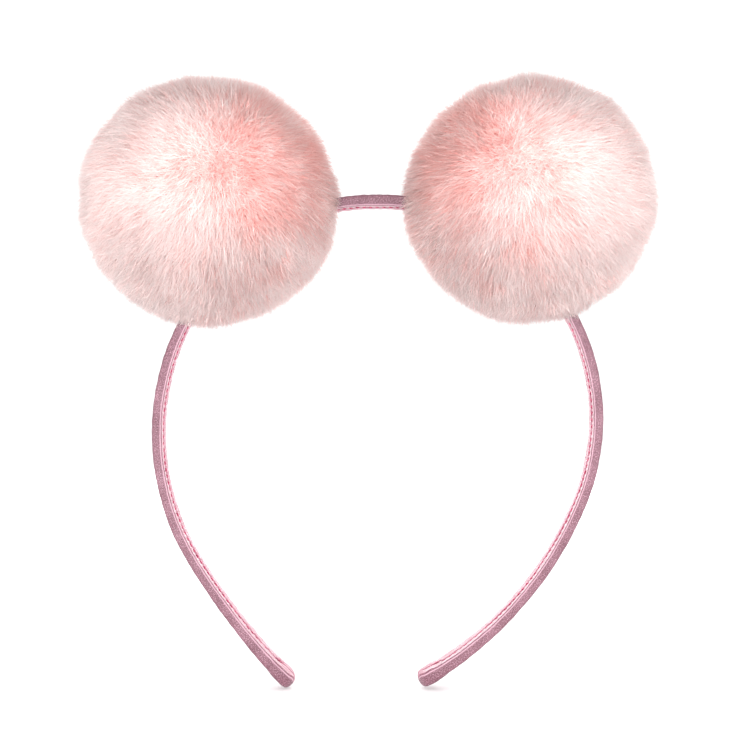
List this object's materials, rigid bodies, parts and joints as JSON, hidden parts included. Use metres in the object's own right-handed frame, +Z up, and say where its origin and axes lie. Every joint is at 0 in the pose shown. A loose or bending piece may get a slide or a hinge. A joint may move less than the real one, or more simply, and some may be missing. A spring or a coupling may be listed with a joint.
{
  "type": "pom-pom headband",
  "caption": "Slim fabric-covered spring headband with two large plush fur pom-poms standing up like animal ears.",
  "frame": {"origin": "under the middle of the crown, where the band's inner face rests on the head", "axes": "+Z up, +X to the right as seen from in front, +Y away from someone facing the band; the legs hang towards -Z"},
  "size_m": [0.1785, 0.079, 0.19],
  "materials": {
    "spring_plastic": "matte",
    "satin_fabric": "satin",
    "sewing_thread": "matte",
    "felt": "matte",
    "elastic_cord": "matte",
    "button_plastic": "gloss",
    "fibre_fill": "matte",
    "plush_fur": "matte"
  },
  "bodies": {
    "crown": {"crown_strip": "spring_plastic", "crown_cover": "satin_fabric", "crown_seam_thread": "sewing_thread", "left_pom_binding": "sewing_thread", "left_pom_seat_pad": "felt", "right_pom_binding": "sewing_thread", "right_pom_seat_pad": "felt"},
    "left_leg": {"left_leg_strip": "spring_plastic", "left_leg_cover": "satin_fabric", "left_leg_seam_thread": "sewing_thread", "left_tip_fold": "satin_fabric", "left_tip_tack": "sewing_thread"},
    "left_shank": {"left_pom_shank": "elastic_cord", "left_pom_anchor_button": "button_plastic"},
    "left_pom": {"left_pom_fur": "plush_fur", "left_pom_stuffing": "fibre_fill", "left_pom_gather_thread": "sewing_thread"},
    "right_leg": {"right_leg_strip": "spring_plastic", "right_leg_cover": "satin_fabric", "right_leg_seam_thread": "sewing_thread", "right_tip_fold": "satin_fabric", "right_tip_tack": "sewing_thread"},
    "right_shank": {"right_pom_shank": "elastic_cord", "right_pom_anchor_button": "button_plastic"},
    "right_pom": {"right_pom_fur": "plush_fur", "right_pom_stuffing": "fibre_fill", "right_pom_gather_thread": "sewing_thread"}
  },
  "joints": [
    {"name": "left_leg_spread", "type": "hinge", "parent": "crown", "child": "left_leg", "pos_m": [-0.04817, 0, -0.01912], "axis": [0, 1, 0], "range_deg": [-5, 20], "stiffness_Nm_per_rad": 0.35},
    {"name": "left_pom_rock", "type": "hinge", "parent": "crown", "child": "left_shank", "pos_m": [-0.04327, 0, -0.00938], "axis": [0.7808, 0, 0.6248], "range_deg": [-12, 12], "stiffness_Nm_per_rad": 0.02},
    {"name": "left_pom_twist", "type": "hinge", "parent": "left_shank", "child": "left_pom", "pos_m": [-0.04327, 0, -0.00938], "axis": [-0.6248, 0, 0.7808], "range_deg": [-15, 15], "stiffness_Nm_per_rad": 0.01},
    {"name": "right_leg_spread", "type": "hinge", "parent": "crown", "child": "right_leg", "pos_m": [0.0487, 0, -0.01824], "axis": [0, -1, 0], "range_deg": [-5, 20], "stiffness_Nm_per_rad": 0.35},
    {"name": "right_pom_rock", "type": "hinge", "parent": "crown", "child": "right_shank", "pos_m": [0.04175, 0, -0.00746], "axis": [0.8186, 0, -0.5744], "range_deg": [-12, 12], "stiffness_Nm_per_rad": 0.02},
    {"name": "right_pom_twist", "type": "hinge", "parent": "right_shank", "child": "right_pom", "pos_m": [0.04175, 0, -0.00746], "axis": [0.5744, 0, 0.8186], "range_deg": [-15, 15], "stiffness_Nm_per_rad": 0.01}
  ]
}
